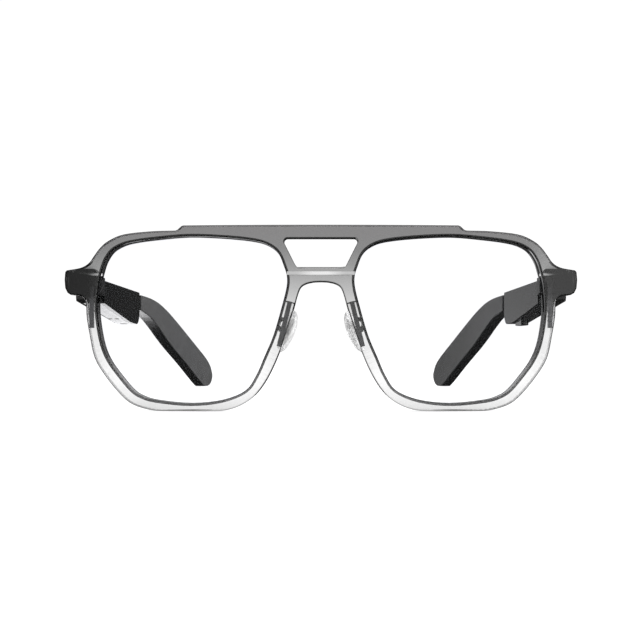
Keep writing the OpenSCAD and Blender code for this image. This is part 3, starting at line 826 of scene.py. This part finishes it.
def build_pad(side):
    """A soft pad: a flat back with a rounded rim, and a domed face towards the nose."""
    most_tilt = 2
    step = 0.6 * MM
    sharp = 70
    node = side + "_nose_pad"
    bm = welded(node)
    back = widest_normal(bm)
    rim = loops_round(patches(bm, back, most_tilt)[0])[0]
    middle = sum(rim, Vector()) / len(rim)
    thick = max((middle - v.co).dot(back) for v in bm.verts)
    bm.free()
    joint = next(j for j in frame["joints"] if j["name"] == side + "_pad_rock")
    across = Vector(joint["axis"]).normalized()
    up = across.cross(back).normalized()
    if up.z < 0:
        up = -up
    loop = [Vector(((p - middle).dot(across), (p - middle).dot(up))) for p in rim]
    loop = evened(turned(loop, False), step)

    made = bmesh.new()
    rings = []
    for share, depth in PAD_RINGS:
        centre = middle - back * thick * depth
        rings.append([made.verts.new(centre + (across * p.x + up * p.y) * (1 - share)) for p in loop])
    for a, b in zip(rings, rings[1:]):
        for k in range(len(a)):
            n = (k + 1) % len(a)
            made.faces.new((a[k], a[n], b[n], b[k]))
    top = made.verts.new(middle - back * thick)
    for k in range(len(loop)):
        made.faces.new((rings[-1][k], rings[-1][(k + 1) % len(loop)], top))
    made.faces.new(rings[0][::-1])
    bmesh.ops.recalc_face_normals(made, faces=made.faces)
    piece(side + "_soft_pad", made, side + "_pad", "silicone", [looks["silicone"]], [node], sharp)


for side in ("right", "left"):
    build_pad(side)

# ---- the other pieces --------------------------------------------------------------------

# How far the edges of each kind of piece are rounded, in millimetres
rounding = {"outer_shell": 0.35, "inner_cover": 0.3, "end_block": 0.12, "bridge_trim": 0.12,
            "front_hinge": 0.08, "temple_hinge": 0.08, "hinge_pin": 0.05, "block_screws": 0.04,
            "leaf_screws": 0.05, "pad_core": 0.08, "pad_screw": 0.05, "speaker_grille": 0.0,
            "function_button": 0.3, "button_switch": 0.05, "battery": 0.2, "main_board": 0.05,
            "speaker": 0.2, "speaker_gasket": 0.05, "microphone": 0.05, "touch_sensor": 0.03,
            "charging_contacts": 0.1, "temple_core": 0.08, "pad_arm": 0.0, "lens": 0.15}
for node, body in body_of.items():
    kind = node.replace("right_", "").replace("left_", "")
    # The pad arms take the darker metal with painted shade
    look = dark_plating if kind == "pad_arm" else looks[slot_of[node]]
    if kind in rounding:
        piece(node + "_piece", softened(node, rounding[kind] * MM), body, slot_of[node], [look], [node])

# ---- studio ------------------------------------------------------------------------------


def card(name, middle, look, size, strength):
    """A soft light: a rectangle at middle that looks at the point look. Mirrors and clear pieces don't
    show it."""
    data = bpy.data.lights.new(name, "AREA")
    data.shape = "RECTANGLE"
    data.size, data.size_y = size
    data.energy = strength
    ob = bpy.data.objects.new(name, data)
    ob.location = middle
    ob.rotation_euler = (Vector(look) - Vector(middle)).to_track_quat("-Z", "Y").to_euler()
    ob.visible_glossy = False
    ob.visible_transmission = False
    bpy.context.scene.collection.objects.link(ob)


def white_floor():
    """A plain pale floor, just below what stands on it."""
    reach = 3.0
    clearance = 0.2 * MM
    bm = bmesh.new()
    bmesh.ops.create_grid(bm, x_segments=12, y_segments=12, size=reach)
    for vert in bm.verts:
        vert.co.z -= clearance
    mesh = bpy.data.meshes.new("floor")
    bm.to_mesh(mesh)
    bm.free()
    floor = bpy.data.objects.new("floor", mesh)
    bpy.context.scene.collection.objects.link(floor)
    floor.visible_glossy = False
    made = Shader("paper_white", Roughness=0.9, Emission_Color=(1, 1, 1, 1), Emission_Strength=0.84)
    made.colour(made.ramp(made.noise(4, 2), [(0.3, grey(0.23)), (0.7, grey(0.25))]))
    mesh.materials.append(made.material)


def studio():
    """White all round. Mirror reflections see a dim room instead, with soft panels: ahead, ahead on the
    wearer's left, above, and low behind on the wearer's right."""
    white = 1.04
    dim = 0.03
    made = bpy.data.worlds.new("studio")
    made.use_nodes = True
    bpy.context.scene.world = made
    tree = Nodes(made.node_tree)
    left, back, up = tree.add("SeparateXYZ", {0: tree.add("TexCoord").outputs["Generated"]}).outputs
    right = tree.math("MULTIPLY", left, -1.0)
    forward = tree.math("MULTIPLY", back, -1.0)

    ahead = tree.span(forward, 0.6, 1.0, 0, 0.8, True)
    ahead_left = tree.math("MULTIPLY", tree.span(left, 0.42, 0.48, 0, 0.9, True),
                           tree.span(forward, 0.45, 0.6, 0, 1, True))
    above = tree.span(up, 0.5, 0.95, 0, 1.1, True)
    behind_right = tree.math("MULTIPLY", tree.span(right, 0.06, 0.22, 0, 1, True),
                             tree.span(back, 0.3, 0.7, 0, 1, True))
    low = tree.math("MULTIPLY", tree.span(up, -0.28, 0.06, 2.4, 0.4, True),
                    tree.span(up, -0.46, -0.34, 0, 1, True))
    room = tree.math("MULTIPLY_ADD", behind_right, low, dim)
    for panel in (ahead, ahead_left, above):
        room = tree.math("ADD", room, panel)

    path = tree.add("LightPath").outputs
    mirrored = tree.math("SUBTRACT", path["Is Glossy Ray"], path["Is Transmission Ray"])
    level = tree.add("Mix", {0: mirrored, 2: white, 3: room}, data_type="FLOAT").outputs[0]
    sky = tree.nodes["Background"]
    sky.inputs["Color"].default_value = (1, 1, 1, 1)
    tree.links.new(level, sky.inputs["Strength"])


def camera():
    """Just ahead of the glasses and a little below their middle, looking straight back."""
    away = 234 * MM
    data = bpy.data.cameras.new("camera")
    data.sensor_width = 36
    # The lens and shifts set the glasses' size and place in the picture as they are in the photo
    data.lens = 46.14
    data.shift_x = -0.01453
    data.shift_y = 0.0406
    data.clip_start = 0.01
    data.clip_end = 20
    ob = bpy.data.objects.new("camera", data)
    ob.location = (1.43 * MM, face_y - away, 18.74 * MM)
    ob.rotation_euler = (math.pi / 2, 0, 0)
    bpy.context.scene.collection.objects.link(ob)
    bpy.context.scene.camera = ob


camera()
white_floor()
studio()
glasses_middle = (0, 0, 30 * MM)
card("top_light", (0, -0.15, 0.6), glasses_middle, (0.8, 0.5), 2)
card("side_light", (0.6, -0.5, 0.45), glasses_middle, (0.5, 0.5), 11)
bpy.context.scene.view_settings.view_transform = "Standard"

bpy.context.view_layer.update()
